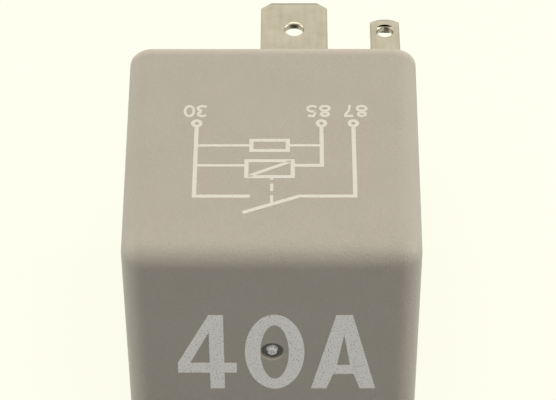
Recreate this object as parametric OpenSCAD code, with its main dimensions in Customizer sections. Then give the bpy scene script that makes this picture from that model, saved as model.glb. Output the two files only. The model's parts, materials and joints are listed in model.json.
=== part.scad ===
// Automotive relay with a normally open contact, three blades and a resistor across the coil.
// It lies on the back wall of its cover: +Y is the way it plugs in, +Z is out of the diagram face.
// Lengths are millimetres, worked from the cover's closed end (y = 0) and its back wall at the rim (z = 0).

/* [Cover] */
// Width of the cover across its rim
cover_w = 26; // [25.6:0.1:28]
// Depth of the cover across its rim
cover_d = 25; // [24.8:0.1:27]
// Length of the cover from closed end to rim
cover_l = 25.6; // [25.4:0.1:27]
// Draft of each wall, in degrees
draft = 0.7; // [0.3:0.1:1]
// Wall thickness of the cover
wall = 0.9; // [0.8:0.05:1]
// Radius on the cover's outer edges
edge_r = 2.1; // [1.4:0.1:2.2]
// Diameter of the gate mark in the closed end
gate_d = 1.95; // [1.5:0.05:3]

/* [Base] */
// Thickness of the base plate
base_t = 3; // [2.6:0.1:3.2]
// How far the base sits inside the rim
base_recess = 0.4; // [0.2:0.1:0.6]
// Gap between the base and the cover's inner wall
base_gap = 0.1; // [0.08:0.01:0.15]
// Depth of the well in the base's outer face
well_depth = 0.8; // [0.4:0.1:1.2]

/* [Terminals] */
// Width of the two load blades
wide_w = 6.3; // [6.2:0.05:6.4]
// Width of the coil blade
narrow_w = 2.8; // [2.6:0.05:2.8]
// Thickness of every blade
blade_t = 0.8; // [0.7:0.05:0.85]
// Bevel on the long edges of a blade
blade_bevel = 0.15; // [0.05:0.01:0.2]
// How far the load blades stand out beyond the rim
wide_reach = 12.1; // [11:0.1:14]
// How far the coil blade stands out beyond the rim
narrow_reach = 12; // [11:0.1:14]
// Diameter of the hole in a load blade
wide_hole_d = 1.7; // [1.4:0.05:2]
// Diameter of the hole in the coil blade
narrow_hole_d = 1.45; // [1.2:0.05:1.5]
// Sideways place of the load blades
wide_x = 1.94; // [1.6:0.02:2.2]
// Sideways place of the coil blade
narrow_x = 10.6; // [10.5:0.02:10.65]

/* [Magnet] */
// Diameter of the core
core_d = 6; // [5:0.1:6.2]
// Diameter of the pole face
pole_d = 9; // [7.5:0.1:9.5]
// Outer diameter of the winding
winding_d = 11; // [9:0.1:11.4]
// Width of the yoke and armature
yoke_w = 12; // [11.8:0.1:12.1]
// Thickness of the yoke's plate
yoke_t = 1.8; // [1.6:0.1:1.8]
// Thickness of the armature
armature_t = 1.4; // [1.2:0.05:1.45]

/* [Contacts] */
// Angle of the open armature
open_deg = 2.5; // [2:0.1:2.6]
// Thickness of the leaf spring
spring_t = 0.25; // [0.2:0.01:0.28]
// Diameter of the contact buttons
button_d = 3; // [2.4:0.1:3.2]

/* [Hidden] */
$fn = 64;
// Overlap of the solids within one piece, and the slack round a pressed shank
eps = 0.01;
// Clearance round a strip in its slot
slot_fit = 0.03;
// Gap between faces that rest on each other
rest_gap = 0.03;
// How far a tool runs past the face that it cuts
past = 1;

// Cover and base
total_l = cover_l + wide_reach;
mid_z = cover_d / 2;
base_out = cover_l - base_recess;
base_in = base_out - base_t;
base_w = cover_w - 2 * (wall + base_gap);
base_d = cover_d - 2 * (wall + base_gap);
stub_d = 0.9;
gate_depth = 0.34;
rib_t = 1;
rib_depth = 1.2;
rib_sink = 0.45;
rib_start = 8;
rib_apart = 17.4;
base_corner_r = edge_r - wall;
well_margin = 1.2;
well_r = 0.5;
crush_h = 0.05;
crush_margin = 0.4;
crush_x = 7;
post_t = 1.35;
post_h = 7;
post_gap = 0.05;
post_short = 0.2;
head_room = 0.3;

// Terminals: the mid-plane of each blade, the narrower stem behind it, and the brackets on the stems
z87 = cover_d - 4.5 - blade_t / 2;
z85 = cover_d - 6.5 - blade_t / 2;
z30 = 4.5;
stem_w = 5;
narrow_stem_w = 2;
bend_r = 0.4;
coin_l = 1.2;
tip_chamfer = 1;
tip_r = 2;
wide_hole_back = 4.1;
narrow_hole_back = 1.95;
tail_x = 10.2;
tail_y = 14;
tail_w = 2;
stem_end_y = 18;
plate_w = 6.6;
plate_foot_z = 3.2;
weld_lap = 2.6;
tail_30_z = z30 + blade_t / 2 + bend_r;
tail_85_w = narrow_x + narrow_stem_w / 2 - tail_x;
tail_85_z = z85 - blade_t / 2;

// Magnet: the yoke's long leg lies under the coil and its short leg stands against bracket_30
coil_z = 11.2;
yoke_z = 3;
yoke_r = 0.5;
yoke_back = base_in - blade_t;
yoke_front = 4.8;
leg_y = yoke_back - yoke_t;
flange_t = 1;
flange_w = 12.4;
flange_h = 12.1;
flange_r = 1.2;
flange_lift = 0.15;
pole_t = 0.9;
spigot_d = 4;
spigot_head_d = 5.2;
spigot_head_h = 0.6;
tube_d = core_d + 1.4;
bobbin_front = yoke_front + pole_t;
plate_r = 3.3;

// Armature, worked out closed and then opened about the yoke's outer edge
arm_in = yoke_front - rest_gap;
arm_out = arm_in - armature_t;
arm_top = 17;
heel_w = 9.6;
arm_wide_z = 5;
heel_r = 1;
lug_w = 1;

// Contacts: buttons riveted through the spring and through bracket_87's tab
button_z = 21.7;
button_t = 0.8;
button_shank_d = 1.5;
tongue_top = 23.4;
fixed_y = arm_out + 2 * button_t + rest_gap;
stop_w = 2.4;
stop_x = -7.4;
stop_tab_x = -3;
stop_foot = 1.8;
stop_y = yoke_front + (arm_out - spring_t - yoke_front) * cos(open_deg)
    - (tongue_top - yoke_z) * sin(open_deg) - slot_fit;

// Spring rivets
rivet_d = 1.4;
rivet_head_d = 2.4;
rivet_head_h = 0.4;
shank_short = 0.02;
yoke_rivet_x = 2.4;
yoke_rivet_y = 10.5;
arm_rivet_x = 3.2;
arm_rivet_z = 15.2;

// Coil ends, resistor and solder
wire_d = 0.3;
wire_turns = 3;
wrap_y = 16.2;
winding_side = (winding_d / 2 + wire_d / 2 + 0.02) * sin(45);
winding_end_y = leg_y - flange_t - 0.25;
lead_d = 0.6;
lead_x = tail_x - lead_d / 2 - eps;
lead_y = 15;
lead_into_body = 0.8;
resistor_l = 6.4;
solder_d = 1.7;

// ---- helpers ----
module in_frame() { translate([0, -total_l / 2, 0]) children(); }
module slab(x0, x1, y0, y1, z0, z1) { translate([x0, y0, z0]) cube([x1 - x0, y1 - y0, z1 - z0]); }
module along_y(x, z, y0, y1, d) { translate([x, y0, z]) rotate([-90, 0, 0]) cylinder(d = d, h = y1 - y0); }
module along_z(x, y, z0, z1, d) { translate([x, y, z0]) cylinder(d = d, h = z1 - z0); }
// Draws its children on the right and mirrored on the left
module both_sides() { for (flip = [0, 1]) mirror([flip, 0, 0]) children(); }
// A (y, z) outline drawn out along X
module side_profile(x0, x1) {
    translate([x0, 0, 0]) rotate([90, 0, 90]) linear_extrude(x1 - x0) children();
}
// An (x, z) outline drawn out along Y
module end_profile(y0, y1) {
    translate([0, y1, 0]) rotate([90, 0, 0]) linear_extrude(y1 - y0) children();
}
module rounded_rect(w, h, r) {
    square([w - 2 * r, h], center = true);
    square([w, h - 2 * r], center = true);
    for (sx = [-1, 1], sz = [-1, 1]) translate([sx * (w / 2 - r), sz * (h / 2 - r)]) circle(r);
}
// A quarter of a ring: the section of a bend in strip, filling the given quadrant
module bend(inner, thick, quadrant) {
    outer = inner + thick;
    intersection() {
        difference() {
            circle(outer);
            circle(inner);
        }
        rotate(90 * quadrant) square(outer + past);
    }
}
// Turns what was drawn closed to where it stands when the relay is off
module opened() {
    translate([0, yoke_front, yoke_z]) rotate([open_deg, 0, 0])
        translate([0, -yoke_front, -yoke_z]) children();
}

// ---- cover ----
// The drafted cap, its outer surface moved inwards by inset
module cover_form(inset, y_end) {
    function shrink(y) = (cover_l - y) * tan(draft) + edge_r;
    r = edge_r - inset;
    hull() for (sx = [-1, 1], sz = [-1, 1]) {
        translate([sx * (cover_w / 2 - shrink(edge_r)), edge_r, mid_z + sz * (mid_z - shrink(edge_r))])
            rotate([90, 0, 0]) sphere(r, $fn = 40);
        translate([sx * (cover_w / 2 - shrink(y_end)), y_end - eps, mid_z + sz * (mid_z - shrink(y_end))])
            rotate([-90, 0, 0]) cylinder(r = r, h = eps, $fn = 40);
    }
}
// The ring that the mould's gate leaves, round the stub where the sprue broke off just below the face
module gate_mark() {
    side = gate_d / 2;
    taper = 0.2;
    stub_below = 0.06;
    translate([0, 0, mid_z]) rotate([-90, 0, 0]) rotate_extrude()
        polygon([[stub_d / 2, -past], [side, -past], [side, gate_depth / 3], [side - taper, gate_depth],
                 [stub_d / 2, gate_depth]]);
    along_y(0, mid_z, -past, stub_below, stub_d + 2 * eps);
}
module cover() {
    // ribs sunk a little into the side walls, which stop the base
    rib_x = cover_w / 2 - wall - rib_depth + rib_sink;
    color("#8d887e") in_frame() {
        difference() {
            cover_form(0, cover_l);
            cover_form(wall, cover_l + past);
            gate_mark();
        }
        both_sides() for (z = [mid_z - rib_apart / 2, mid_z + rib_apart / 2])
            slab(rib_x, rib_x + rib_depth, rib_start, base_in - slot_fit, z - rib_t / 2, z + rib_t / 2);
    }
}

// ---- base ----
// The slot for a stem that stands upright in the plane z
module stem_slot(x, w, z) {
    half_w = w / 2 + slot_fit;
    half_t = blade_t / 2 + slot_fit;
    slab(x - half_w, x + half_w, base_in - past, base_out + past, z - half_t, z + half_t);
}
module boss(x, w, z) {
    translate([x, z]) square([w + 2 * well_margin, blade_t + 2 * well_margin], center = true);
}
// Low ribs round the plate that centre it in the cover
module crush_ribs() {
    half_w = 0.5;
    y0 = base_in + crush_margin;
    y1 = base_out - crush_margin;
    both_sides() for (z = [mid_z - 6, mid_z + 3])
        slab(base_w / 2 - crush_h, base_w / 2 + crush_h, y0, y1, z - half_w, z + half_w);
    both_sides() for (z = [mid_z - base_d / 2, mid_z + base_d / 2])
        slab(crush_x - half_w, crush_x + half_w, y0, y1, z - crush_h, z + crush_h);
}
module base() {
    color("#3b3a38") in_frame() difference() {
        union() {
            end_profile(base_in, base_out) translate([0, mid_z]) rounded_rect(base_w, base_d, base_corner_r);
            crush_ribs();
            // posts that hold the yoke between them
            both_sides() slab(yoke_w / 2 + post_gap, yoke_w / 2 + post_gap + post_t,
                leg_y + post_short, base_in + eps, mid_z - post_h / 2, mid_z + post_h / 2);
        }
        // well round the bosses that the blades' shoulders sit on
        end_profile(base_out - well_depth, base_out + past) difference() {
            translate([0, mid_z]) rounded_rect(base_w - 2 * well_margin, base_d - 2 * well_margin, well_r);
            boss(wide_x, wide_w, z87);
            boss(wide_x, wide_w, z30);
            boss(narrow_x, narrow_w, z85);
        }
        stem_slot(wide_x, stem_w, z87);
        stem_slot(wide_x, stem_w, z30);
        stem_slot(narrow_x, narrow_stem_w, z85);
        // room for the core's riveted end
        along_y(0, coil_z, base_in - past, base_in + spigot_head_h + head_room,
            spigot_head_d + 2 * head_room);
        // socket of the rest stop's foot
        slab(stop_x - stop_w / 2 - slot_fit, stop_x + stop_w / 2 + slot_fit,
            base_in - past, base_in + stop_foot + slot_fit,
            z87 - blade_t / 2 - slot_fit, z87 + blade_t / 2 + slot_fit);
    }
}

// ---- terminals ----
// A rectangle with its corners cut: the section of a blade
module bevelled_rect(w, h, cut) {
    square([w - 2 * cut, h], center = true);
    polygon([[-w / 2, cut - h / 2], [cut - w / 2, -h / 2], [w / 2 - cut, -h / 2], [w / 2, cut - h / 2],
             [w / 2, h / 2 - cut], [w / 2 - cut, h / 2], [cut - w / 2, h / 2], [-w / 2, h / 2 - cut]]);
}
// The outline of a blade, its tip round or with two cut corners
module blade_outline(w, tip, arched) {
    if (arched) {
        translate([-w / 2, base_out]) square([w, tip - base_out - tip_r + sqrt(tip_r * tip_r - w * w / 4)]);
        intersection() {
            translate([0, tip - tip_r]) circle(tip_r);
            translate([-w / 2, base_out]) square([w, tip - base_out]);
        }
    } else polygon([[-w / 2, base_out], [w / 2, base_out], [w / 2, tip - tip_chamfer],
                    [w / 2 - tip_chamfer, tip], [tip_chamfer - w / 2, tip], [-w / 2, tip - tip_chamfer]]);
}
// A blade in the plane z, from the base to its tip, coined thinner towards the tip
module blade(x, z, w, reach, hole_d, hole_back, arched) {
    tip = cover_l + reach;
    t = blade_t / 2;
    difference() {
        intersection() {
            translate([x, 0, z - t]) linear_extrude(blade_t) blade_outline(w, tip, arched);
            side_profile(x - w, x + w) polygon([[base_out, z - t], [tip - coin_l, z - t], [tip, z - t / 2],
                [tip, z + t / 2], [tip - coin_l, z + t], [base_out, z + t]]);
            end_profile(base_out, tip) translate([x, z]) bevelled_rect(w, blade_t, blade_bevel);
        }
        along_z(x, tip - hole_back, z - past, z + past, hole_d);
    }
}
// The strip behind a blade, from y0 to the blade's shoulders
module stem(x, w, z, y0) {
    slab(x - w / 2, x + w / 2, y0, base_out, z - blade_t / 2, z + blade_t / 2);
}
module load_blade(z) { blade(wide_x, z, wide_w, wide_reach, wide_hole_d, wide_hole_back, false); }
module terminal_30() {
    color("#b9b29c") in_frame() {
        load_blade(z30);
        stem(wide_x, stem_w, z30, yoke_back);
    }
}
// The plate between base and yoke that terminal 30's stem is staked into and the core is riveted through.
// Its arm runs round the coil's side to the tail that the resistor and the coil's end are soldered to.
module bracket_30() {
    turn_x = tail_x - bend_r;
    color("#b9b29c") in_frame() {
        difference() {
            end_profile(yoke_back, base_in) {
                translate([wide_x - plate_w / 2, plate_foot_z]) square([plate_w, coil_z - plate_foot_z]);
                translate([0, coil_z]) circle(plate_r);
            }
            along_y(0, coil_z, yoke_back - past, base_in + past, spigot_d + 2 * eps);
            slab(wide_x - stem_w / 2 - eps, wide_x + stem_w / 2 + eps, yoke_back - past, base_in + past,
                z30 - blade_t / 2 - eps, z30 + blade_t / 2 + eps);
        }
        slab(wide_x + plate_w / 2 - eps, turn_x, yoke_back, base_in, tail_30_z, tail_30_z + tail_w);
        translate([turn_x, yoke_back - bend_r, tail_30_z]) linear_extrude(tail_w) bend(bend_r, blade_t, 0);
        slab(tail_x, tail_x + blade_t, tail_y, yoke_back - bend_r, tail_30_z, tail_30_z + tail_w);
    }
}
module terminal_87() {
    color("#b9b29c") in_frame() {
        load_blade(z87);
        stem(wide_x, stem_w, z87, base_in - weld_lap);
    }
}
// The strip spot-welded under terminal 87's stem, with a tab bent up to carry the fixed contact
module bracket_87() {
    x0 = wide_x - stem_w / 2;
    x1 = wide_x + stem_w / 2;
    front = fixed_y + blade_t;
    top_z = z87 - blade_t / 2;
    turn_z = top_z + bend_r;
    color("#b9b29c") in_frame() {
        slab(x0, x1, front + bend_r, base_in - slot_fit, top_z - blade_t, top_z);
        side_profile(x0, x1) translate([front + bend_r, turn_z]) bend(bend_r, blade_t, 2);
        difference() {
            slab(x0, x1, fixed_y, front, turn_z, tongue_top);
            along_y(wide_x, button_z, fixed_y - past, front + past, button_shank_d + 2 * eps);
        }
    }
}
module terminal_85() {
    stem_edge = narrow_x + narrow_stem_w / 2;
    color("#b9b29c") in_frame() {
        blade(narrow_x, z85, narrow_w, narrow_reach, narrow_hole_d, narrow_hole_back, true);
        stem(narrow_x, narrow_stem_w, z85, stem_end_y);
        slab(tail_x, stem_edge, tail_y, stem_end_y, z85 - blade_t / 2, z85 + blade_t / 2);
    }
}

// ---- magnet ----
module bobbin() {
    notch = [1.2, 0.8];
    notch_x = flange_w / 2 - 0.5;
    notch_apart = 9.2;
    color("#c9bd9c") in_frame() difference() {
        union() {
            for (y = [bobbin_front, leg_y - flange_t]) end_profile(y, y + flange_t)
                translate([0, coil_z + flange_lift]) rounded_rect(flange_w, flange_h, flange_r);
            along_y(0, coil_z, bobbin_front, leg_y, tube_d);
        }
        along_y(0, coil_z, bobbin_front - past, leg_y + past, core_d + 2 * eps);
        // notches in the rear flange that the winding's ends leave by
        for (s = [-1, 1]) end_profile(leg_y - flange_t - past / 2, leg_y + past)
            translate([notch_x, coil_z + flange_lift + s * notch_apart / 2]) square(notch, center = true);
    }
}
module coil_winding() {
    y0 = bobbin_front + flange_t;
    y1 = leg_y - flange_t;
    color("#a4532c") in_frame() difference() {
        along_y(0, coil_z, y0, y1, winding_d);
        along_y(0, coil_z, y0 - past, y1 + past, tube_d + 2 * eps);
    }
}
module core() {
    // one turned revolve, measured back from the pole face
    barrel_end = leg_y - yoke_front;
    head = base_in - yoke_front;
    head_end = head + spigot_head_h;
    head_r = spigot_head_d / 2;
    chamfer = 0.2;
    color("#9a9c9f") in_frame() translate([0, yoke_front, coil_z]) rotate([-90, 0, 0]) rotate_extrude()
        polygon([[0, 0], [pole_d / 2 - chamfer, 0], [pole_d / 2, chamfer], [pole_d / 2, pole_t],
                 [core_d / 2, pole_t], [core_d / 2, barrel_end], [spigot_d / 2, barrel_end],
                 [spigot_d / 2, head], [head_r, head], [head_r - chamfer / 2, head_end - chamfer],
                 [spigot_d / 2, head_end], [0, head_end]]);
}
module yoke() {
    half_w = yoke_w / 2;
    inner_z = yoke_z + yoke_t;
    color("#a7a9ab") in_frame() difference() {
        union() {
            slab(-half_w, half_w, yoke_front, leg_y - yoke_r, yoke_z, inner_z);
            side_profile(-half_w, half_w)
                translate([leg_y - yoke_r, inner_z + yoke_r]) bend(yoke_r, yoke_t, 3);
            slab(-half_w, half_w, leg_y, yoke_back, inner_z + yoke_r, arm_top);
            // lugs that keep the armature from shifting sideways
            both_sides() slab(half_w - lug_w, half_w, yoke_front - lug_w, yoke_front + eps, yoke_z, inner_z);
        }
        along_y(0, coil_z, leg_y - past, yoke_back + past, spigot_d + 2 * eps);
        both_sides() along_z(yoke_rivet_x, yoke_rivet_y, yoke_z - past, inner_z + past, rivet_d + 2 * eps);
    }
}

// ---- armature, spring and contacts ----
module armature() {
    // the heel, which rocks on the yoke's edge, is rounded where the spring bends round it
    round_r = 1.3;
    foot_z = yoke_z + 0.05;
    color("#9fa1a4") in_frame() opened() difference() {
        intersection() {
            end_profile(arm_out, arm_in) {
                translate([-heel_w / 2, foot_z]) square([heel_w, arm_wide_z - yoke_z]);
                translate([-yoke_w / 2, arm_wide_z]) square([yoke_w, arm_top - arm_wide_z]);
            }
            side_profile(-yoke_w, yoke_w) {
                translate([arm_out + round_r, foot_z + round_r]) circle(round_r);
                translate([arm_out, foot_z + round_r]) square([armature_t, arm_top]);
                translate([arm_out + round_r, yoke_z]) square([armature_t, arm_wide_z]);
            }
        }
        both_sides() along_y(arm_rivet_x, arm_rivet_z, arm_out - past, arm_in + past, rivet_d + 2 * eps);
    }
}
// The spring's outline as blanked, in x and z, widening into the contact arm
module spring_blank() {
    strap = 4;
    arm = 4.9;
    corner = 0.9;
    right_side = [[strap, 0], [strap, 16], [arm, 18.4], [arm, tongue_top - corner],
                  [arm - corner, tongue_top + past]];
    left_side = [for (i = [len(right_side) - 1 : -1 : 0]) [-right_side[i][0], right_side[i][1]]];
    polygon(concat(right_side, left_side));
}
module contact_spring() {
    // side view: flat under the yoke, round the heel, then straight up the open armature
    bend_y = yoke_front + (arm_out - yoke_front + heel_r - heel_r * sin(open_deg)) / cos(open_deg);
    bend_mid = [bend_y, yoke_z + heel_r];
    run = (tongue_top - yoke_z - heel_r) * [-sin(open_deg), cos(open_deg)];
    end_y = 13.5;
    window_w = 3.6;
    window_z = 6.5;
    window_y = 7;
    swing = 90 - open_deg;
    steps = 12;
    function side(r) = [for (i = [0 : steps])
        let (a = 270 - swing * i / steps) bend_mid + r * [cos(a), sin(a)]];
    function back_side(r) = [for (i = [steps : -1 : 0]) side(r)[i]];
    inner_r = heel_r;
    outer_r = heel_r + spring_t;
    color("#c08a4a") in_frame() difference() {
        intersection() {
            side_profile(-yoke_w / 2, yoke_w / 2) polygon(concat(
                [[end_y, yoke_z]], side(inner_r), [side(inner_r)[steps] + run],
                [side(outer_r)[steps] + run], back_side(outer_r), [[end_y, yoke_z - spring_t]]));
            end_profile(-past, end_y + past) spring_blank();
        }
        // window that leaves two straps at the bend
        slab(-window_w / 2, window_w / 2, 0, window_y, 0, window_z);
        both_sides() {
            along_z(yoke_rivet_x, yoke_rivet_y, yoke_z - past, yoke_z + past, rivet_d + 2 * eps);
            opened() along_y(arm_rivet_x, arm_rivet_z, arm_out - past, arm_out + past, rivet_d + 2 * eps);
        }
        opened() along_y(wide_x, button_z, arm_out - past, arm_out + past, button_shank_d + 2 * eps);
    }
}
// A contact along Y through a strip that starts at y = 0: its button on the +Y side, its tail spread or flush
module contact_rivet(strip_t, spread) {
    face = strip_t + button_t;
    shank = button_shank_d / 2;
    spread_tail = [[0, -0.4], [shank + 0.15, -0.4], [shank + 0.35, -0.2], [shank + 0.35, 0], [shank, 0]];
    tail = spread ? spread_tail : [[0, 0], [shank, 0]];
    rotate([-90, 0, 0]) rotate_extrude() polygon(concat(tail, [[shank, strip_t], [button_d / 2, strip_t],
        [button_d / 2, face - 0.25], [button_d / 2 - 0.4, face], [0, face]]));
}
module moving_contact() {
    color("#d8d6d0") in_frame() opened()
        translate([wide_x, arm_out - spring_t, button_z]) contact_rivet(spring_t, true);
}
module fixed_contact() {
    color("#d8d6d0") in_frame()
        translate([wide_x, fixed_y + blade_t, button_z]) mirror([0, 1, 0]) contact_rivet(blade_t, false);
}
module rest_stop() {
    x0 = stop_x - stop_w / 2;
    x1 = stop_x + stop_w / 2;
    z = z87 - blade_t / 2;
    turn_z = z + blade_t + bend_r;
    color("#b9b29c") in_frame() {
        slab(x0, x1, stop_y + bend_r, base_in + stop_foot, z, z + blade_t);
        side_profile(x0, x1) translate([stop_y + bend_r, turn_z]) bend(bend_r, blade_t, 2);
        slab(x0, stop_tab_x, stop_y - blade_t, stop_y, turn_z, tongue_top);
    }
}
// A rivet along Z through strips strip_t thick in all that start at z = 0, its head below them
module rivet(strip_t) {
    head_r = rivet_head_d / 2;
    rotate_extrude() polygon([[0, -rivet_head_h], [head_r - 0.4, -rivet_head_h], [head_r, -rivet_head_h / 2],
        [head_r, 0], [rivet_d / 2, 0], [rivet_d / 2, strip_t], [0, strip_t]]);
}
module yoke_rivet(s) {
    color("#8f9194") in_frame()
        translate([s * yoke_rivet_x, yoke_rivet_y, yoke_z - spring_t]) rivet(spring_t + yoke_t - shank_short);
}
module yoke_rivet_left() { yoke_rivet(-1); }
module yoke_rivet_right() { yoke_rivet(1); }
module armature_rivet(s) {
    color("#8f9194") in_frame() opened() translate([s * arm_rivet_x, arm_out - spring_t, arm_rivet_z])
        rotate([-90, 0, 0]) rivet(spring_t + armature_t - shank_short);
}
module armature_rivet_left() { armature_rivet(-1); }
module armature_rivet_right() { armature_rivet(1); }

// ---- coil ends, resistor and solder ----
// Enamelled wire through the given points
module wire(points) {
    for (i = [0 : len(points) - 2])
        hull() for (p = [points[i], points[i + 1]]) translate(p) sphere(d = wire_d, $fn = 10);
}
// Turns of wire round a tail w wide and h high, which lies along Y with its low corner at (x, z)
module wrap(x, z, w, h) {
    pitch = wire_d - eps;
    outer = wire_d + eps;
    for (i = [0 : wire_turns - 1]) end_profile(wrap_y + i * pitch, wrap_y + i * pitch + wire_d) difference() {
        translate([x - outer, z - outer]) square([w + 2 * outer, h + 2 * outer]);
        translate([x - eps, z - eps]) square([w + 2 * eps, h + 2 * eps]);
    }
}
module coil_start_lead() {
    color("#a4532c") in_frame() {
        wire([[winding_side, winding_end_y, coil_z + winding_side],
              [7.6, winding_end_y - 0.2, tail_85_z - 1.2],
              [9, wrap_y + 0.7, tail_85_z - 0.9],
              [tail_x + 0.5, wrap_y + 0.5, tail_85_z - wire_d / 2 - eps]]);
        wrap(tail_x, tail_85_z, tail_85_w, blade_t);
    }
}
module coil_end_lead() {
    color("#a4532c") in_frame() {
        wire([[winding_side, winding_end_y, coil_z - winding_side],
              [7.6, winding_end_y - 0.2, tail_30_z + 1.6],
              [9, wrap_y + 0.7, tail_30_z + 1.2],
              [tail_x - wire_d / 2 - eps, wrap_y + 0.5, tail_30_z + 1]]);
        wrap(tail_x, tail_30_z, blade_t, tail_w);
    }
}
module resistor_body() {
    h = resistor_l / 2;
    cap_r = 1.2;
    waist_r = 1.02;
    color("#7d94a8") in_frame() translate([lead_x, lead_y, mid_z]) difference() {
        rotate_extrude() polygon([[0, -h], [0.8, -h], [cap_r, 0.35 - h], [cap_r, 1.2 - h], [waist_r, 1.6 - h],
            [waist_r, h - 1.6], [cap_r, h - 1.2], [cap_r, h - 0.35], [0.8, h], [0, h]]);
        for (flip = [0, 1]) mirror([0, 0, flip]) along_z(0, 0, h - lead_into_body, h + past, lead_d);
    }
}
module resistor_lead(z0, z1) { color("#c3c3c0") in_frame() along_z(lead_x, lead_y, z0, z1, lead_d); }
module resistor_lead_upper() {
    resistor_lead(mid_z + resistor_l / 2 - lead_into_body, z85 + blade_t / 2 + 0.5);
}
module resistor_lead_lower() { resistor_lead(tail_30_z - 0.5, mid_z - resistor_l / 2 + lead_into_body); }
// A bead that joins the lead to a tail with its low corner at (tail_x, z)
module solder(bead_z, z, w, h) {
    color("#cfcfcb") in_frame() difference() {
        translate([tail_x - 0.1, lead_y, bead_z]) sphere(d = solder_d);
        slab(tail_x, tail_x + w, tail_y, wrap_y, z, z + h);
        along_z(lead_x, lead_y, 0, cover_d, lead_d);
    }
}
module solder_85() { solder(tail_85_z + blade_t, tail_85_z, tail_85_w, blade_t); }
module solder_30() { solder(tail_30_z + 1, tail_30_z, blade_t, tail_w); }

cover();
base();
terminal_30();
terminal_87();
terminal_85();
bracket_30();
bracket_87();
bobbin();
coil_winding();
core();
yoke();
armature();
contact_spring();
moving_contact();
fixed_contact();
rest_stop();
yoke_rivet_left();
yoke_rivet_right();
armature_rivet_left();
armature_rivet_right();
coil_start_lead();
coil_end_lead();
resistor_body();
resistor_lead_upper();
resistor_lead_lower();
solder_85();
solder_30();
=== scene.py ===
import json
import math
import random
import bmesh
import bpy
from mathutils import Matrix, Vector

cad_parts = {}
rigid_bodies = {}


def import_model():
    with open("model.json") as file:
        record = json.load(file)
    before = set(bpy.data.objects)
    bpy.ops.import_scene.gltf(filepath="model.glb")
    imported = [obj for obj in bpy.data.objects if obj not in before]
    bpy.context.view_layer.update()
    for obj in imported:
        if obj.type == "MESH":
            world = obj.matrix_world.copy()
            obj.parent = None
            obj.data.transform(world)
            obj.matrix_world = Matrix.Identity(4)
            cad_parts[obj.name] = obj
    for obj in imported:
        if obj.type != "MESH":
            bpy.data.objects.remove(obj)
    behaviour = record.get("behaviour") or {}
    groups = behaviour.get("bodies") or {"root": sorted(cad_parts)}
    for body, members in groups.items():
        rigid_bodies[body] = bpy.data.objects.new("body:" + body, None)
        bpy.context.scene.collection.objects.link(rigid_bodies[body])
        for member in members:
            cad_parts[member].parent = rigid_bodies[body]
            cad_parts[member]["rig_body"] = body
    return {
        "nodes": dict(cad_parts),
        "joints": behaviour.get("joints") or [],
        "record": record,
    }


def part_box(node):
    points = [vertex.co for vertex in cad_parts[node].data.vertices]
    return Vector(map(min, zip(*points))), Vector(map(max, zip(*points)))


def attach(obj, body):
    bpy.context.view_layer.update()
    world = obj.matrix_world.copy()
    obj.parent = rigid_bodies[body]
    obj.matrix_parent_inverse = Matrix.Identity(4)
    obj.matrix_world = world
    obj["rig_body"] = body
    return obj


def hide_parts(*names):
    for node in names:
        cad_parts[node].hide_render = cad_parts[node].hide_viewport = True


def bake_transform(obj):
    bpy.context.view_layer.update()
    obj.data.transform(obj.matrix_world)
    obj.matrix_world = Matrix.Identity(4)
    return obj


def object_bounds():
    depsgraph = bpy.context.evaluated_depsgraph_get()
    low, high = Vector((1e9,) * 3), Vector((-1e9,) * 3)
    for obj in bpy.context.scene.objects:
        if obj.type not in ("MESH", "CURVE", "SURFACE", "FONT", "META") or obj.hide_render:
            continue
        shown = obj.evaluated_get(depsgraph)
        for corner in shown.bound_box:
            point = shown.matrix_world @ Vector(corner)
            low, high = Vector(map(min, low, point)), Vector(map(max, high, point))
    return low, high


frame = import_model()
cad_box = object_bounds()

low, high = (Vector(corner) for corner in cad_box)

# ---- Stage: floor, surroundings and lamps ----
# A seamless cream sweep under a soft studio tent. The relay is lit from above, from both sides and a little
# from behind, and the end that faces the camera is in its own soft shade.
MM = 0.001
CREAM = "#fffff0"


def linear(hex_colour):
    """An sRGB hex colour as linear red, green, blue and alpha."""
    channels = [int(hex_colour[i:i + 2], 16) / 255 for i in (1, 3, 5)]
    return [c / 12.92 if c <= 0.04045 else ((c + 0.055) / 1.055) ** 2.4 for c in channels] + [1.0]


def add_node(tree, kind, inputs=None, feeds=None, **settings):
    """Adds a shader node, sets or links its inputs, and links its first output to the socket it feeds."""
    made = tree.nodes.new(kind)
    for name, value in settings.items():
        setattr(made, name, value)
    for socket, value in (inputs or {}).items():
        if isinstance(value, bpy.types.NodeSocket):
            tree.links.new(value, made.inputs[socket])
        else:
            made.inputs[socket].default_value = value
    if feeds:
        tree.links.new(made.outputs[0], feeds)
    return made


def seen_directly(tree):
    """1 for the rays by which the eye, metal or glass sees a thing, and 0 for those that carry its light."""
    light_path = add_node(tree, "ShaderNodeLightPath")
    seen = light_path.outputs["Is Camera Ray"]
    for ray in ("Is Glossy Ray", "Is Transmission Ray"):
        larger = add_node(tree, "ShaderNodeMath", {0: seen, 1: light_path.outputs[ray]}, operation="MAXIMUM")
        seen = larger.outputs[0]
    return seen


def new_object(name, mesh):
    """An object at the origin that holds the mesh."""
    made = bpy.data.objects.new(name, mesh)
    bpy.context.scene.collection.objects.link(made)
    return made


bpy.context.scene.view_settings.view_transform = "Standard"

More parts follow.
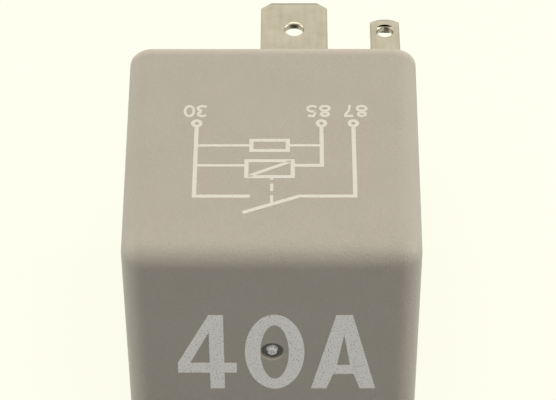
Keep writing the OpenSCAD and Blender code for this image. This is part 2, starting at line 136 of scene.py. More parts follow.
# Paper: what the eye sees is its own cream, a tenth of it lit by the lamps, so that it takes the relay's
# shadow. The light that it throws back on to the relay is dimmer and cooler.
LIT_SHARE = 0.10
sweep_paper = bpy.data.materials.new("matt_sweep_paper")
sweep_paper.use_nodes = True
tree = sweep_paper.node_tree
tree.nodes.clear()
thrown_back = add_node(tree, "ShaderNodeBsdfDiffuse", {"Color": linear("#7e838c")})
lit_cream = add_node(tree, "ShaderNodeBsdfDiffuse", {"Color": linear(CREAM)})
own_cream = add_node(tree, "ShaderNodeEmission", {"Color": linear(CREAM), "Strength": 1.0})
paper = add_node(tree, "ShaderNodeMixShader", {0: LIT_SHARE, 1: own_cream.outputs[0],
                                               2: lit_cream.outputs[0]})
both = add_node(tree, "ShaderNodeMixShader", {0: seen_directly(tree), 1: thrown_back.outputs[0],
                                              2: paper.outputs[0]})
add_node(tree, "ShaderNodeOutputMaterial", {"Surface": both.outputs[0]})

bm = bmesh.new()
bmesh.ops.create_grid(bm, x_segments=1, y_segments=1, size=2.0)
floor_mesh = bpy.data.meshes.new("floor")
bm.to_mesh(floor_mesh)
bm.free()
floor_mesh.materials.append(sweep_paper)
floor = new_object("floor", floor_mesh)

world = bpy.data.worlds.new("studio_tent")
bpy.context.scene.world = world
world.use_nodes = True
tree = world.node_tree
tree.nodes.clear()
tent = add_node(tree, "ShaderNodeBackground", {"Color": linear("#e6ecf5"), "Strength": 0.35})
cream = add_node(tree, "ShaderNodeBackground", {"Color": linear(CREAM), "Strength": 1.0})
both = add_node(tree, "ShaderNodeMixShader", {0: seen_directly(tree), 1: tent.outputs[0],
                                              2: cream.outputs[0]})
add_node(tree, "ShaderNodeOutputWorld", {"Surface": both.outputs[0]})


def soft_box(name, place, aim_height, size, watts, colour):
    """A square area lamp at place, turned towards a point at that height above the middle of the floor."""
    lamp = bpy.data.lights.new(name, "AREA")
    lamp.size = size
    lamp.energy = watts
    lamp.color = linear(colour)[:3]
    made = bpy.data.objects.new(name, lamp)
    aim = Vector((0, 0, aim_height)) - Vector(place)
    made.matrix_world = Matrix.Translation(place) @ aim.to_track_quat("-Z", "Y").to_matrix().to_4x4()
    bpy.context.scene.collection.objects.link(made)


soft_box("overhead_box", (0, -0.056, 0.42), 0.02, 0.40, 1.36, "#fff7ec")
soft_box("left_box", (-0.40, 0.0, 0.09), 0.015, 0.26, 1.0, "#fbfaf6")
soft_box("right_box", (0.40, 0.0, 0.10), 0.015, 0.26, 1.25, "#fbfaf6")
soft_box("rear_box", (0, 0.40, 0.13), 0.015, 0.40, 0.13, "#fff9f0")

# ---- Camera ----
# A long lens, not quite 200 mm from the relay, that looks down at a little under 45 degrees on the closed
# end and the diagram wall.
look_at = Vector((0.572 * MM, low.y, 30.78 * MM))
distance = 195.65 * MM
elevation = math.radians(44.30)
azimuth = math.radians(0.40)
roll = math.radians(-0.31)
level = math.cos(elevation)
back = Vector((math.sin(azimuth) * level, -math.cos(azimuth) * level, math.sin(elevation)))
side = (-back).cross(Vector((0, 0, 1))).normalized()
above = side.cross(-back)
right = side * math.cos(roll) + above * math.sin(roll)
up = above * math.cos(roll) - side * math.sin(roll)
lens = bpy.data.cameras.new("camera")
lens.lens = 155.9
lens.sensor_width = 36
lens.clip_start = 0.01
camera = bpy.data.objects.new("camera", lens)
turned = Matrix((right, up, back)).transposed().to_4x4()
camera.matrix_world = Matrix.Translation(look_at + back * distance) @ turned
bpy.context.scene.collection.objects.link(camera)
bpy.context.scene.camera = camera

# ---- Cover ----
# The cap that closes the relay, injection moulded in mineral-filled polyamide with a fine spark-eroded
# texture. It is pressed over the base and held there by friction.
cover_low, cover_high = (Vector(corner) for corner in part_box("cover"))
cover_mid = (cover_low + cover_high) / 2
DRAFT = math.radians(0.7)
WALL = 0.9 * MM
EDGE_R = 2.1 * MM
RIM_R = 0.15 * MM
# the closed end stays this far inside the solid's box, so that the print on it does too
SET_BACK = 0.02 * MM
end_y = cover_low.y + SET_BACK
GATE_R = 0.98 * MM
GATE_DEPTH = 0.34 * MM
gate_z = cover_mid.z - 0.1 * MM
# how close two points have to be to be merged
WELD = 0.0005 * MM


def surface(name, metallic=0.0, roughness=0.5, **fixed):
    """A new material with one Principled shader, and that shader's tree, shader and Object coordinates."""
    material = bpy.data.materials.new(name)
    material.use_nodes = True
    tree = material.node_tree
    tree.nodes.clear()
    output = add_node(tree, "ShaderNodeOutputMaterial")
    values = {"Metallic": metallic, "Roughness": roughness, **fixed}
    shader = add_node(tree, "ShaderNodeBsdfPrincipled", values, feeds=output.inputs["Surface"])
    place = add_node(tree, "ShaderNodeTexCoord").outputs["Object"]
    return material, tree, shader, place


def clouded(tree, place, size, detail, dark, pale, feeds=None, roughness=0.5):
    """Clouds of that size in millimetres, and the colour that drifts from dark to pale with them."""
    cloud = add_node(tree, "ShaderNodeTexNoise", {"Vector": place, "Scale": 1 / (size * MM),
                                                  "Detail": detail, "Roughness": roughness})
    tone = add_node(tree, "ShaderNodeMixRGB", {"Fac": cloud.outputs["Fac"], "Color1": linear(dark),
                                               "Color2": linear(pale)}, feeds=feeds)
    return cloud.outputs["Fac"], tone.outputs[0]


def smooth_object(name, bm, material, sharp_angle, keep_normals=True):
    """A finished bmesh as an object that is shaded smooth, apart from edges sharper than the angle.

    The normals that a CAD solid may bring with it are dropped where its faces have been cut."""
    for face in bm.faces:
        face.smooth = True
    mesh = bpy.data.meshes.new(name)
    bm.to_mesh(mesh)
    bm.free()
    if not keep_normals and "custom_normal" in mesh.attributes:
        mesh.attributes.remove(mesh.attributes["custom_normal"])
    mesh.materials.append(material)
    mesh.set_sharp_from_angle(angle=math.radians(sharp_angle))
    return new_object(name, mesh)


def mesh_piece(name, bm, material, body, sharp_angle=38.0):
    """A finished bmesh as an object that rides a body, its flat faces shaded flat and its bends smooth."""
    piece = smooth_object(name, bm, material, sharp_angle)
    piece.modifiers.new("flat_faces_stay_flat", "WEIGHTED_NORMAL").keep_sharp = True
    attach(piece, body)
    return piece


def cap_surface(bm, inset, closed_y, radius):
    """One surface of the drafted cap, moved in by inset, rounded along its edges and open at the rim.

    Returns the edges of its mouth."""
    others = set(bm.edges)
    verts = bmesh.ops.create_cube(bm, size=1.0)["verts"]
    for vert in verts:
        y = cover_high.y if vert.co.y > 0 else closed_y
        shrink = (cover_high.y - y) * math.tan(DRAFT) + inset
        vert.co = Vector((math.copysign(cover_high.x - shrink, vert.co.x), y,
                          cover_mid.z + math.copysign(cover_mid.z - shrink, vert.co.z)))
    faces = {face for vert in verts for face in vert.link_faces}
    mouth = max(faces, key=lambda face: face.calc_center_median().y)
    bmesh.ops.delete(bm, geom=[mouth], context="FACES_ONLY")
    edges = {edge for vert in verts for edge in vert.link_edges if not edge.is_boundary}
    bmesh.ops.bevel(bm, geom=list(edges), offset=radius, offset_type="OFFSET", segments=12, profile=0.5,
                    affect="EDGES", clamp_overlap=True, material=-1)
    return [edge for edge in bm.edges if edge.is_boundary and edge not in others]


# Moulded polyamide: warm grey and satin. The mould's eroded texture is about 0.14 mm across, with slow
# clouds of tone over it and faint paler grains of filler. Painted highlight pales it towards the rim, where
# the rounded edge catches the light, and painted shade darkens the recessed ring at the gate.
polyamide, tree, shader, place = surface("moulded_polyamide", roughness=0.43)
grain = add_node(tree, "ShaderNodeTexNoise", {"Vector": place, "Scale": 1 / (0.14 * MM), "Detail": 3.0,
                                              "Roughness": 0.6})
_, tone = clouded(tree, place, 5.0, 3.0, "#a49d8f", "#aaa396")
mottle = add_node(tree, "ShaderNodeMapRange", {"Value": grain.outputs["Fac"], "From Min": 0.3,
                                               "From Max": 0.7, "To Min": 0.93, "To Max": 1.06})
mottled = add_node(tree, "ShaderNodeVectorMath", {0: tone, "Scale": mottle.outputs[0]}, operation="SCALE")
grit = add_node(tree, "ShaderNodeTexNoise", {"Vector": place, "Scale": 1 / (0.28 * MM), "Detail": 2.0})
spot = add_node(tree, "ShaderNodeMapRange", {"Value": grit.outputs["Fac"], "From Min": 0.68,
                                             "From Max": 0.80, "To Max": 0.35})
gritty = add_node(tree, "ShaderNodeMixRGB", {"Fac": spot.outputs[0], "Color1": mottled.outputs[0],
                                             "Color2": linear("#c4bfb3")})
# painted highlight: the last 1.3 mm towards the rim is painted paler, where the rounded rim edge catches the
# light
along = add_node(tree, "ShaderNodeSeparateXYZ", {"Vector": place}).outputs["Y"]
rim_highlight_mask = add_node(tree, "ShaderNodeMapRange", {"Value": along, "From Min": cover_high.y - 1.3 * MM,
                                                 "From Max": cover_high.y}, interpolation_type="SMOOTHSTEP")
highlight_falloff = add_node(tree, "ShaderNodeMath", {0: rim_highlight_mask.outputs[0], 1: 1.8}, operation="POWER")
rim_painted_highlight = add_node(tree, "ShaderNodeMixRGB", {"Fac": highlight_falloff.outputs[0], "Color1": gritty.outputs[0],
                                               "Color2": linear("#c3baaa")})
# painted shade: the gate's recessed ring on the closed end's outer face is painted near black, standing in
# for the shade in the recess
across = add_node(tree, "ShaderNodeVectorMath", {0: place, 1: (1, 0, 1)}, operation="MULTIPLY")
from_gate = add_node(tree, "ShaderNodeVectorMath", {0: across.outputs[0], 1: (0, 0, gate_z)},
                     operation="DISTANCE")
in_ring = add_node(tree, "ShaderNodeMapRange", {"Value": from_gate.outputs["Value"],
                                                "From Min": GATE_R + 0.02 * MM,
                                                "From Max": GATE_R - 0.08 * MM, "To Max": 0.8})
outside = add_node(tree, "ShaderNodeMath", {0: along, 1: end_y + WALL / 2}, operation="LESS_THAN")
gate_painted_shade = add_node(tree, "ShaderNodeMath", {0: in_ring.outputs[0], 1: outside.outputs[0]},
                 operation="MULTIPLY")
add_node(tree, "ShaderNodeMixRGB", {"Fac": gate_painted_shade.outputs[0], "Color1": rim_painted_highlight.outputs[0],
                                    "Color2": linear("#38352f")}, feeds=shader.inputs["Base Color"])
add_node(tree, "ShaderNodeBump", {"Height": grain.outputs["Fac"], "Strength": 1.0, "Distance": 0.08 * MM},
         feeds=shader.inputs["Normal"])

bm = bmesh.new()
outer_mouth = cap_surface(bm, 0, end_y, EDGE_R)
inner_mouth = cap_surface(bm, WALL, end_y + WALL, EDGE_R - WALL)
# the two mouths are held apart while they are joined, because loops in one plane can pair up crosswise
inner_points = list({vert for edge in inner_mouth for vert in edge.verts})
bmesh.ops.translate(bm, verts=inner_points, vec=(0, -WALL, 0))
bmesh.ops.bridge_loops(bm, edges=outer_mouth + inner_mouth)
bmesh.ops.translate(bm, verts=inner_points, vec=(0, WALL, 0))
bmesh.ops.recalc_face_normals(bm, faces=bm.faces)
bmesh.ops.bevel(bm, geom=outer_mouth, offset=RIM_R, offset_type="OFFSET", segments=4, profile=0.5,
                affect="EDGES", clamp_overlap=True, material=-1)
# the ring that the mould's gate leaves round its stub: a rounded lip, a steep wall and a flat floor
closed_face = min(bm.faces, key=lambda face: face.calc_center_median().y)
face_edges = list(closed_face.edges)
bmesh.ops.delete(bm, geom=[closed_face], context="FACES_ONLY")
gate_profile = [(GATE_R + 0.20 * MM, 0), (GATE_R + 0.12 * MM, 0.01 * MM), (GATE_R + 0.05 * MM, 0.04 * MM),
                (GATE_R, 0.10 * MM), (GATE_R - 0.05 * MM, GATE_DEPTH - 0.04 * MM),
                (GATE_R - 0.12 * MM, GATE_DEPTH), (0, GATE_DEPTH)]


def spun_profile(bm, profile, steps):
    """Spins a profile of (radius, depth) points round the gate's axis, from the closed end inwards."""
    verts = [bm.verts.new((radius, end_y + depth, gate_z)) for radius, depth in profile]
    edges = [bm.edges.new(pair) for pair in zip(verts, verts[1:])]
    bmesh.ops.spin(bm, geom=verts + edges, cent=(0, end_y, gate_z), axis=(0, 1, 0), angle=math.tau,
                   steps=steps, use_merge=True)
    bmesh.ops.remove_doubles(bm, verts=bm.verts, dist=WELD)


spun_profile(bm, gate_profile, 48)
gate_rim = [edge for edge in bm.edges if edge.is_boundary and edge not in face_edges]
bmesh.ops.triangle_fill(bm, use_beauty=True, use_dissolve=False, edges=face_edges + gate_rim)
# four ribs inside the side walls, placed from the middle of the closed end
rib_size = Vector((1.2, 14.17, 1.0)) * MM
rib_place = Vector((11.95, 15.085, 8.7)) * MM
for sign_x in (-1, 1):
    for sign_z in (-1, 1):
        at = Matrix.Translation((sign_x * rib_place.x, cover_low.y + rib_place.y,
                                 cover_mid.z + sign_z * rib_place.z))
        bmesh.ops.create_cube(bm, size=1.0, matrix=at @ Matrix.Diagonal((*rib_size, 1)))
bmesh.ops.recalc_face_normals(bm, faces=bm.faces)
cover_piece = mesh_piece("cover_cap", bm, polyamide, "housing")
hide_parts("cover")

# Gate stub: where the sprue broke off, the plastic is torn, rough and stress-whitened. Its top leans
# downwards, the way it was broken off.
whitened, tree, shader, place = surface("stress_whitened_polyamide", roughness=0.7)
tear = add_node(tree, "ShaderNodeTexNoise", {"Vector": place, "Scale": 1 / (0.18 * MM), "Detail": 4.0})
ramp = add_node(tree, "ShaderNodeValToRGB", {"Fac": tear.outputs["Fac"]}, feeds=shader.inputs["Base Color"])
for stop, position, colour in zip(ramp.color_ramp.elements, (0.36, 0.58), ("#bdbab2", "#fbfaf6")):
    stop.position = position
    stop.color = linear(colour)
TEAR = 0.035 * MM
lean = Vector((0, 0.02, -0.14)) * MM
stub_profile = [(0.52 * MM, GATE_DEPTH), (0.45 * MM, 0.31 * MM), (0.40 * MM, 0.16 * MM),
                (0.37 * MM, 0.06 * MM), (0.28 * MM, 0.03 * MM), (0.14 * MM, 0.035 * MM), (0, 0.03 * MM)]
bm = bmesh.new()
random.seed(4)
spun_profile(bm, stub_profile, 28)
for vert in bm.verts:
    if vert.co.y < end_y + 0.2 * MM:
        vert.co += Vector([random.uniform(-TEAR, TEAR) for _ in range(3)]) + lean
bmesh.ops.recalc_face_normals(bm, faces=bm.faces)
mesh_piece("gate_stub", bm, whitened, "housing", 60.0)

# ---- Print on the cover ----
# Pad-printed ink, a few hundredths of a millimetre thick: the circuit with its standard terminal numbers on
# the diagram wall, read from the blades' side, and a plain current rating on the closed end.
INK = 0.015 * MM
# the ink's underside stays this far off the plastic
INK_LIFT = 0.002 * MM


def printed(name, shapes, placing, material):
    """Flat shapes, each an outline with its holes, raised by the ink's thickness and put in place."""
    bm = bmesh.new()
    for outlines in shapes:
        edges = []
        for outline in outlines:
            verts = [bm.verts.new((x * MM, y * MM, 0)) for x, y in outline]
            edges += [bm.edges.new((verts[i - 1], verts[i])) for i in range(len(verts))]
        bmesh.ops.triangle_fill(bm, use_beauty=True, use_dissolve=False, edges=edges)
    raised = bmesh.ops.extrude_face_region(bm, geom=list(bm.faces))
    top = [part for part in raised["geom"] if isinstance(part, bmesh.types.BMVert)]
    bmesh.ops.translate(bm, vec=(0, 0, INK), verts=top)
    bmesh.ops.recalc_face_normals(bm, faces=bm.faces)
    bm.transform(placing)
    mesh_piece(name, bm, material, "housing", 30.0)


def bar(left, bottom, right, top):
    """A filled rectangle."""
    return [[(left, bottom), (right, bottom), (right, top), (left, top)]]


def box_outline(left, bottom, right, top, pen):
    """A rectangle drawn with a pen, as an outer and an inner outline."""
    half = pen / 2
    return (bar(left - half, bottom - half, right + half, top + half)
            + bar(left + half, bottom + half, right - half, top - half))


def arc(x, y, radius_x, radius_y, start, end, count):
    """Points along an elliptical arc, in degrees."""
    turn = [math.radians(start + (end - start) * i / count) for i in range(count + 1)]
    return [(x + radius_x * math.cos(a), y + radius_y * math.sin(a)) for a in turn]


def ring(x, y, radius_x, radius_y, pen):
    """An elliptical ring drawn with a pen of that width."""
    half = pen / 2
    return [arc(x, y, radius_x + half, radius_y + half, 0, 360, 40)[:-1],
            arc(x, y, radius_x - half, radius_y - half, 0, 360, 40)[:-1]]


def stroke(points, pen):
    """A line through the points, drawn with a flat pen of that width."""
    left = []
    right = []
    for i, point in enumerate(points):
        previous = Vector(points[max(i - 1, 0)])
        following = Vector(points[min(i + 1, len(points) - 1)])
        onwards = (following - previous).normalized()
        across = Vector((-onwards.y, onwards.x)) * pen / 2
        left.append(tuple(Vector(point) + across))
        right.append(tuple(Vector(point) - across))
    return [left + right[::-1]]


def pad_print_ink(name, colour, pit_colour, pit_level):
    """Pad-print ink: pale and matt. It misses the deepest pits of the texture, so it is pinholed."""
    material, tree, shader, place = surface(name, roughness=0.62, **{"Specular IOR Level": 0.35})
    pits = add_node(tree, "ShaderNodeTexNoise", {"Vector": place, "Scale": 1 / (0.13 * MM), "Detail": 2.0,
                                                 "Roughness": 0.6})
    inked = add_node(tree, "ShaderNodeMapRange", {"Value": pits.outputs["Fac"], "From Min": pit_level,
                                                  "From Max": pit_level + 0.10})
    add_node(tree, "ShaderNodeMixRGB", {"Fac": inked.outputs[0], "Color1": linear(pit_colour),
                                        "Color2": linear(colour)}, feeds=shader.inputs["Base Color"])
    add_node(tree, "ShaderNodeBump", {"Height": pits.outputs["Fac"], "Strength": 0.3,
                                      "Distance": 0.015 * MM}, feeds=shader.inputs["Normal"])
    return material


cream_ink = pad_print_ink("cream_pad_print_ink", "#d2cfc4", "#b8b1a3", 0.30)
pale_ink = pad_print_ink("pale_pad_print_ink", "#fffbf0", "#8d8980", 0.32)

# The circuit, in millimetres on the wall: x across it, y from the closed end towards the rim. The wires of
# terminals 30, 85 and 87 run down from their circles to the contact, the coil and the resistor.
PEN = 0.365
half = PEN / 2
slim = 0.8 * half
line_30 = -6.62
line_85 = 4.30
line_87 = 7.10
y_number = 18.02
y_circle = 15.66
y_resistor = 12.86
y_coil = 9.96
y_coil_wire = 10.37
y_contact = 6.62
circle_r = 0.345
circle_pen = 0.32
wire_top = y_circle - circle_r - 0.1
resistor_left, resistor_right, resistor_rise = -1.80, 1.36, 0.64
coil_left, coil_right, coil_rise = -2.20, 1.78, 0.98
stop_x = -1.85
pivot_x = 2.33
lever_tip = (-2.46, 4.66)

diagram = [ring(x, y_circle, circle_r, circle_r, circle_pen) for x in (line_30, line_85, line_87)]
diagram += [
    # the wires that run down from the circles
    bar(line_30 - half, y_contact - half, line_30 + half, wire_top),
    bar(line_85 - half, y_coil_wire - half, line_85 + half, wire_top),
    bar(line_87 - half, y_contact - half, line_87 + half, wire_top),
    # the resistor and its two wires
    box_outline(resistor_left, y_resistor - resistor_rise, resistor_right, y_resistor + resistor_rise, PEN),
    bar(line_30 + half, y_resistor - slim, resistor_left - half, y_resistor + slim),
    bar(resistor_right + half, y_resistor - slim, line_85 - half, y_resistor + slim),
    # the coil, with its slanting stroke, and its two wires
    box_outline(coil_left, y_coil - coil_rise, coil_right, y_coil + coil_rise, PEN),
    stroke([(coil_left + 0.15, y_coil - 0.90), (coil_right - 0.15, y_coil + 0.90)], PEN * 0.9),
    bar(line_30 + half, y_coil_wire - slim, coil_left - half, y_coil_wire + slim),
    bar(coil_right + half, y_coil_wire - half, line_85 - half, y_coil_wire + half),
    # the contact: its stop, its lever and its pivot
    bar(line_30 + half, y_contact - half, stop_x, y_contact + half),
    stroke([lever_tip, (pivot_x, y_contact)], PEN),
    bar(pivot_x, y_contact - half, line_87 - half, y_contact + half),
]
# the dashed line by which the coil works the lever
for dash_low, dash_high in ((8.60, 8.79), (7.22, 8.14), (5.83, 6.71)):
    diagram += [bar(-0.15, dash_low, 0.12, dash_high)]


# Each digit and letter below is one unit high and stands on y = 0, with x = 0 in its middle.
def digit_0(pen):
    return [ring(0, 0.5, 0.30, 0.5 - pen / 2, pen)]


def digit_3(pen):
    upper = arc(0, 0.74, 0.28, 0.26 - pen / 2, 150, -80, 14)
    lower = arc(0, 0.27, 0.31, 0.27 - pen / 2, 85, -150, 16)
    return [stroke(upper, pen), stroke(lower, pen)]


def digit_5(pen):
    flag = [(0.27, 1 - pen / 2), (-0.2, 1 - pen / 2)]
    stem = [(-0.17, 1 - pen), (-0.24, 0.5)]
    bowl = arc(-0.02, 0.32, 0.31, 0.32 - pen / 2, 140, -150, 18)
    return [stroke(flag, pen), stroke(stem, pen * 0.9), stroke(bowl, pen)]


def digit_7(pen):
    flag = [(-0.3, 1 - pen / 2), (0.33, 1 - pen / 2)]
    stem = [(0.27, 1 - pen), (0.02, 0.5), (-0.08, 0)]
    return [stroke(flag, pen), stroke(stem, pen)]


def digit_8(pen):
    return [ring(0, 0.76, 0.25, 0.24 - pen / 2, pen), ring(0, 0.28, 0.31, 0.28 - pen / 2, pen)]


def set_in_place(shapes, x, y, width, height):
    """Unit-high shapes scaled and moved to (x, y). A negative width and height give them half a turn."""
    return [[[(x + width * px, y + height * py) for px, py in outline] for outline in outlines]
            for outlines in shapes]


NUMBER_WIDTH = 1.31
NUMBER_HEIGHT = 1.56
NUMBER_PEN = 0.18
number_step = 0.57
for x, first, second in ((line_30 - 0.12, digit_3, digit_0), (line_85 - 0.25, digit_8, digit_5),
                         (line_87 + 0.2, digit_8, digit_7)):
    for digit, digit_x in ((first, x + number_step), (second, x - number_step)):
        diagram += set_in_place(digit(NUMBER_PEN), digit_x, y_number, -NUMBER_WIDTH, -NUMBER_HEIGHT)

wall_at_end = cover_high.z - (cover_high.y - cover_low.y) * math.tan(DRAFT)
on_wall = Matrix.Translation((0, cover_low.y, wall_at_end + INK_LIFT)) @ Matrix.Rotation(DRAFT, 4, "X")
printed("circuit_print", diagram, on_wall, cream_ink)

# The rating: plain bold figures and a unit, in millimetres from the middle of the closed end.
RATING_HEIGHT = 9.42
rating_base = -4.87
figure_4 = [[[(0.13, 0), (0.13, 0.22), (0.245, 0.22), (0.245, 0.355), (0.13, 0.355), (0.13, 1.0),
              (-0.005, 1.0), (-0.30, 0.355), (-0.30, 0.22), (-0.005, 0.22), (-0.005, 0)],
             [(-0.005, 0.355), (-0.005, 0.77), (-0.185, 0.355)]]]
figure_0 = [[arc(0, 0.5, 0.274, 0.505, 0, 360, 56)[:-1], arc(0, 0.5, 0.13, 0.365, 0, 360, 48)[:-1]]]
letter_a = [[[(-0.30, 0), (-0.155, 0), (-0.095, 0.2), (0.095, 0.2), (0.155, 0), (0.30, 0), (0.075, 1.0),
              (-0.075, 1.0)],
             [(-0.06, 0.325), (0.06, 0.325), (0, 0.74)]]]
rating = []
for shapes, x in ((figure_4, -5.40), (figure_0, 0.21), (letter_a, 6.20)):
    rating += set_in_place(shapes, x, rating_base, RATING_HEIGHT, RATING_HEIGHT)
on_end = Matrix.Translation((0, end_y - INK_LIFT, cover_mid.z)) @ Matrix.Rotation(math.radians(90), 4, "X")
printed("rating_print", rating, on_end, pale_ink)

# ---- Base ----
# The plate that carries the blades and closes the cover, moulded in black glass-filled polyester. Its outer
# side is a shallow well, with a low collar round each blade.


def break_edges(bm, size, steps, chosen=lambda edge: True, clamp=True):
    """Rounds the chosen sharp edges by size millimetres."""
    sharp = [e for e in bm.edges if e.is_manifold and e.calc_face_angle(0) > math.radians(40) and chosen(e)]
    bmesh.ops.bevel(bm, geom=sharp, offset=size * MM, offset_type="OFFSET", segments=steps, profile=0.5,
                    affect="EDGES", clamp_overlap=clamp, material=-1)


def finished_copy(node_name, piece_name, material, edge=0.0, steps=2, first=None):
    """The CAD solid as one merged mesh, its edges broken by edge millimetres, in place of the plain node."""
    bm = bmesh.new()
    bm.from_mesh(frame["nodes"][node_name].data)
    bmesh.ops.remove_doubles(bm, verts=bm.verts, dist=WELD)
    bmesh.ops.dissolve_limit(bm, angle_limit=math.radians(1.5), verts=bm.verts, edges=bm.edges)
    if first:
        first(bm)
    if edge:
        break_edges(bm, edge, steps)
    piece = mesh_piece(piece_name, bm, material, frame["nodes"][node_name]["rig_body"])
    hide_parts(node_name)


# Moulded polyester: near black and satin, with the fine grain of its glass fibres.
black_polyester, tree, shader, place = surface("moulded_polyester", roughness=0.48)
grain, _ = clouded(tree, place, 0.25, 3.0, "#232221", "#32302e", feeds=shader.inputs["Base Color"])
add_node(tree, "ShaderNodeBump", {"Height": grain, "Strength": 0.25, "Distance": 0.02 * MM},
         feeds=shader.inputs["Normal"])
finished_copy("base", "base_plate", black_polyester, 0.08)

# ---- Terminals and rest stop ----
# Stamped from 0.8 mm brass strip and tin plated. The blades have coined tips and are pressed into the base.
# Inside, bracket 30 leads to the core and the coil, bracket 87 holds the fixed contact, and the contact arm
# lies against the rest stop while the coil is off.

# Tin over brass: pale, warm and semi-matt, with stains and with faint rolling lines along the blade. Where
# the tip was sheared and coined, the plating is thin and dull.
tinned_brass, tree, shader, place = surface("tin_plated_brass", metallic=1.0, roughness=0.36)
stretched = add_node(tree, "ShaderNodeMapping", {"Vector": place, "Scale": (1.0, 0.08, 1.0)}).outputs[0]
rolling = add_node(tree, "ShaderNodeTexNoise", {"Vector": stretched, "Scale": 1 / (0.12 * MM),
                                                "Detail": 2.0})
streak = add_node(tree, "ShaderNodeTexNoise", {"Vector": stretched, "Scale": 1 / (0.5 * MM), "Detail": 3.0})
_, tone = clouded(tree, place, 1.8, 4.0, "#a29b89", "#c5bfb3", roughness=0.65)
shading = add_node(tree, "ShaderNodeMapRange", {"Value": streak.outputs["Fac"], "From Min": 0.3,
                                                "From Max": 0.7, "To Min": 0.93, "To Max": 1.05})
streaky = add_node(tree, "ShaderNodeVectorMath", {0: tone, "Scale": shading.outputs[0]}, operation="SCALE")
along = add_node(tree, "ShaderNodeSeparateXYZ", {"Vector": place}).outputs["Y"]
sheared = add_node(tree, "ShaderNodeMapRange", {"Value": along, "From Min": high.y - 0.42 * MM,
                                                "From Max": high.y - 0.28 * MM, "To Max": 0.5})
add_node(tree, "ShaderNodeMixRGB", {"Fac": sheared.outputs[0], "Color1": streaky.outputs[0],
                                    "Color2": linear("#85807a")}, feeds=shader.inputs["Base Color"])
add_node(tree, "ShaderNodeMapRange", {"Value": rolling.outputs["Fac"], "To Min": 0.28, "To Max": 0.46},
         feeds=shader.inputs["Roughness"])
add_node(tree, "ShaderNodeBump", {"Height": rolling.outputs["Fac"], "Strength": 0.12, "Distance": 0.01 * MM},
         feeds=shader.inputs["Normal"])
# the radius of the lip round a punched hole, in millimetres
HOLE_LIP = 0.24
mounts = {mount["name"]: mount for mount in frame["record"]["mounts"]}


def punched(terminal):
    """Rounds the lip that the punch leaves round the hole of a terminal's blade."""
    hole = mounts[terminal.replace("terminal", "blade") + "_hole"]
    centre = Vector(hole["pos_m"])
    radius = hole["dims"]["r_mm"] * MM

    def at_hole(edge):
        return all((vert.co - centre).xy.length < 1.1 * radius for vert in edge.verts)

    def round_lip(bm):
        break_edges(bm, HOLE_LIP, 4, at_hole, clamp=False)
    return round_lip


for terminal in ("terminal_87", "terminal_85", "terminal_30"):
    finished_copy(terminal, terminal + "_strip", tinned_brass, 0.09, first=punched(terminal))
for strip in ("bracket_30", "bracket_87", "rest_stop"):
    finished_copy(strip, strip + "_strip", tinned_brass, 0.07)

# ---- Bobbin ----
# The spool that carries the coil, moulded in natural glass-filled polyamide: a pale straw colour, cloudy and
# slightly waxy.
natural_polyamide, tree, shader, place = surface("natural_polyamide", roughness=0.42)
cloud, _ = clouded(tree, place, 2.5, 3.0, "#cfc4a4", "#ddd3b6", feeds=shader.inputs["Base Color"])
add_node(tree, "ShaderNodeBump", {"Height": cloud, "Strength": 0.15, "Distance": 0.05 * MM},
         feeds=shader.inputs["Normal"])
finished_copy("bobbin", "coil_bobbin", natural_polyamide, 0.12)

# ---- Coil winding ----
# Enamelled copper wire wound in even turns side by side on the bobbin. The outer layer is spun turn by turn,
# and its wire is drawn thicker than the real one, so that the turns show. Under the clear, glossy enamel
# the copper is a deep orange.
enamel, tree, shader, place = surface("enamelled_copper_wire", metallic=1.0, roughness=0.28,
                                      **{"Coat Weight": 0.6, "Coat Roughness": 0.1})
clouded(tree, place, 1.2, 2.0, "#9c4a22", "#c06a35", feeds=shader.inputs["Base Color"])
coil_low, coil_high = (Vector(corner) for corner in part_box("coil_winding"))
coil_axis = (coil_low + coil_high) / 2
outer_r = (coil_high.z - coil_low.z) / 2
inner_r = 3.75 * MM
turns = 40
points_per_turn = 5
pitch = (coil_high.y - coil_low.y) / turns
section = [(coil_low.y, inner_r)]
for turn in range(turns):
    for i in range(points_per_turn):
        a = math.pi * (i + 0.5) / points_per_turn
        section.append((coil_low.y + pitch * (turn + 0.5 - 0.5 * math.cos(a)),
                        outer_r - pitch * 0.5 * (1 - math.sin(a))))
section.append((coil_high.y, inner_r))
bm = bmesh.new()
verts = [bm.verts.new((coil_axis.x, y, coil_axis.z + radius)) for y, radius in section]
edges = [bm.edges.new((verts[i - 1], verts[i])) for i in range(len(verts))]
bmesh.ops.spin(bm, geom=verts + edges, cent=coil_axis, axis=(0, 1, 0), angle=math.tau, steps=64,
               use_merge=True)
bmesh.ops.remove_doubles(bm, verts=bm.verts, dist=WELD)
bmesh.ops.recalc_face_normals(bm, faces=bm.faces)
winding = smooth_object("wire_turns", bm, enamel, 60)
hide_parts("coil_winding")
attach(winding, "mechanism")

# ---- Core, yoke and armature ----
# Soft iron, bright zinc plated. The core is turned and riveted through the yoke, the yoke is bent from
# strip, and the armature is stamped. The zinc is a pale grey metal with clouds of tone and fine scratches.
zinc_plate, tree, shader, place = surface("zinc_plated_iron", metallic=1.0, roughness=0.34)
clouded(tree, place, 1.5, 4.0, "#a3a6a8", "#c1c3c3", feeds=shader.inputs["Base Color"])
scratch = add_node(tree, "ShaderNodeTexNoise", {"Vector": place, "Scale": 1 / (0.3 * MM), "Detail": 3.0})
add_node(tree, "ShaderNodeMapRange", {"Value": scratch.outputs["Fac"], "To Min": 0.26, "To Max": 0.44},
         feeds=shader.inputs["Roughness"])
finished_copy("core", "iron_core", zinc_plate, 0.08)
finished_copy("yoke", "iron_yoke", zinc_plate, 0.12)
finished_copy("armature", "iron_armature", zinc_plate, 0.1)

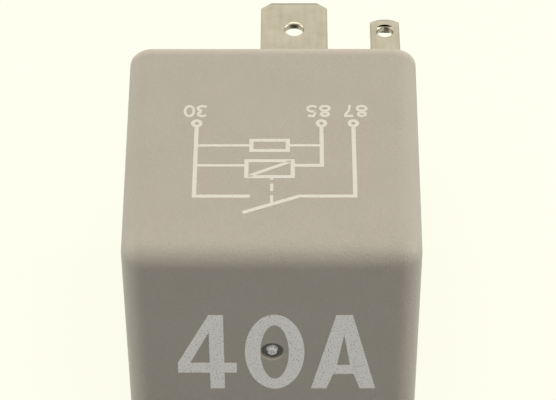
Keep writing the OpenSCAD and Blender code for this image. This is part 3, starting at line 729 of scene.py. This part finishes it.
# ---- Contact spring ----
# One strip of rolled bronze, riveted to the yoke and the armature. It bends where it passes the hinge, so it
# is cut across there into short lengths. The bronze is golden and bright from the rolls.
bronze, tree, shader, place = surface("rolled_spring_bronze", metallic=1.0, roughness=0.3)
clouded(tree, place, 1.0, 3.0, "#b98343", "#d6a566", feeds=shader.inputs["Base Color"])
hinge = Vector(next(joint for joint in frame["joints"] if joint["name"] == "armature_hinge")["pos_m"])
first_cut = hinge.y - 0.8 * MM
cut_step = 0.2 * MM
bm = bmesh.new()
bm.from_mesh(frame["nodes"]["contact_spring"].data)
bmesh.ops.remove_doubles(bm, verts=bm.verts, dist=WELD)
for step in range(12):
    bmesh.ops.bisect_plane(bm, geom=list(bm.verts) + list(bm.edges) + list(bm.faces),
                           plane_co=(0, first_cut + step * cut_step, 0), plane_no=(0, 1, 0), dist=1e-7)
leaf = smooth_object("bronze_leaf", bm, bronze, 38, keep_normals=False)
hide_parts("contact_spring")
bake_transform(leaf)

# ---- Contacts and rivets ----
# Silver alloy buttons, headed through their strips, and small zinc-plated rivets that hold the spring to the
# yoke and to the armature. The silver is the palest and smoothest of the metals.
silver, tree, shader, place = surface("silver_alloy", metallic=1.0, roughness=0.25)
clouded(tree, place, 0.6, 3.0, "#cfccc4", "#e6e4de", feeds=shader.inputs["Base Color"])
finished_copy("moving_contact", "moving_button", silver, 0.06)
finished_copy("fixed_contact", "fixed_button", silver, 0.06)
for rivet in ("yoke_rivet_left", "yoke_rivet_right", "armature_rivet_left", "armature_rivet_right"):
    finished_copy(rivet, rivet + "_head", zinc_plate, 0.06)

# ---- Coil leads ----
# The winding's two ends, led off the bobbin and wound three turns round the terminal tails. They are the
# same enamelled wire as the winding.
for lead in ("coil_start_lead", "coil_end_lead"):
    finished_copy(lead, lead + "_wire", enamel)

# ---- Resistor ----
# A film resistor in glossy blue dipped lacquer with colour bands. It is soldered across the coil's two tails
# and takes up the spark when the coil is switched off.
lacquer, tree, shader, place = surface("dipped_resistor_lacquer", roughness=0.3, **{"Coat Weight": 0.3})
resistor_low, resistor_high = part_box("resistor_body")
height = add_node(tree, "ShaderNodeSeparateXYZ", {"Vector": place}).outputs["Z"]
along = add_node(tree, "ShaderNodeMapRange", {"Value": height, "From Min": resistor_low[2],
                                              "From Max": resistor_high[2]})
bands = add_node(tree, "ShaderNodeValToRGB", {"Fac": along.outputs[0]}, feeds=shader.inputs["Base Color"])
bands.color_ramp.interpolation = "CONSTANT"
body_blue = "#6f8ea6"
# a new ramp has two elements, which are the body's start and the first band; the rest are added
stops = bands.color_ramp.elements
stops[0].color = linear(body_blue)
stops[1].position = 0.12
stops[1].color = linear("#2f7a3c")
for position, colour in ((0.20, body_blue), (0.34, "#2a55a8"), (0.42, body_blue), (0.55, "#7a4a24"),
                         (0.63, body_blue), (0.78, "#b8963c"), (0.86, body_blue)):
    stops.new(position).color = linear(colour)
finished_copy("resistor_body", "film_resistor", lacquer, 0.12, 3)

# ---- Solder and resistor leads ----
# The resistor's leads are tinned copper wire. Bright solder, smooth where it has flowed, joins them and the
# coil's wire to the tails.
solder_tin, tree, shader, place = surface("reflowed_solder", metallic=1.0, roughness=0.22)
clouded(tree, place, 0.5, 2.0, "#bcbdbd", "#d9d9d7", feeds=shader.inputs["Base Color"])
for lead in ("resistor_lead_upper", "resistor_lead_lower"):
    finished_copy(lead, lead + "_wire", solder_tin)
for joint in ("solder_85", "solder_30"):
    finished_copy(joint, joint + "_joint", solder_tin, 0.05)
